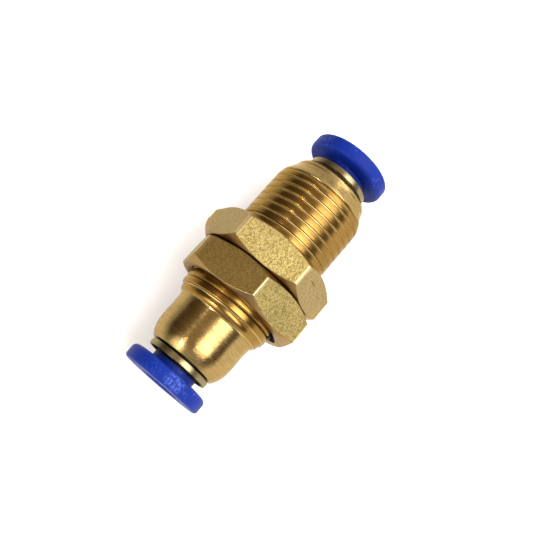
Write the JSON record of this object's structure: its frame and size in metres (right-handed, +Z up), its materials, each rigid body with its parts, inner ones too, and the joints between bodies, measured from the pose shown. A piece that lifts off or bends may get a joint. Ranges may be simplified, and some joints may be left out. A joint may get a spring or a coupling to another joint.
{
  "type": "push to connect bulkhead union",
  "caption": "Straight brass bulkhead union that joins two push-in tubes through a panel, with lock nuts on its thread and a plastic release collar at each end.",
  "frame": {"origin": "on the surface the fitting lies on, under the middle of its bounding box", "axes": "+X parallel to the tube axis from end a to end b, +Z up with the fitting lying on the lowest corners of its two lock nuts"},
  "size_m": [0.035, 0.0172, 0.0162],
  "materials": {
    "body_brass": "polished, turned",
    "nut_brass": "blasted flats, turned chamfers",
    "ring_brass": "satin, turned",
    "collar_plastic": "semi-matte moulded",
    "claw_steel": "pressed sheet",
    "support_plastic": "moulded",
    "seal_rubber": "smooth, lightly greased"
  },
  "bodies": {
    "fitting": {"body": "body_brass", "guide_ring_a": "ring_brass", "guide_ring_b": "ring_brass", "claw_ring_a": "claw_steel", "claw_ring_b": "claw_steel", "support_ring_a": "support_plastic", "support_ring_b": "support_plastic", "tube_seal_a": "seal_rubber", "tube_seal_b": "seal_rubber"},
    "collar_a": {"release_collar_a": "collar_plastic"},
    "collar_b": {"release_collar_b": "collar_plastic"},
    "nut_a": {"lock_nut_a": "nut_brass"},
    "nut_b": {"lock_nut_b": "nut_brass"}
  },
  "joints": [
    {"name": "release_a", "type": "slide", "parent": "fitting", "child": "collar_a", "axis": [1, 0, 0], "range_m": [0, 0.0009]},
    {"name": "release_b", "type": "slide", "parent": "fitting", "child": "collar_b", "axis": [-1, 0, 0], "range_m": [0, 0.0009]},
    {"name": "nut_a_travel", "type": "slide", "parent": "fitting", "child": "nut_a", "axis": [-1, 0, 0], "range_m": [0, 0.002]},
    {"name": "nut_b_travel", "type": "slide", "parent": "fitting", "child": "nut_b", "axis": [1, 0, 0], "range_m": [0, 0.008]}
  ]
}
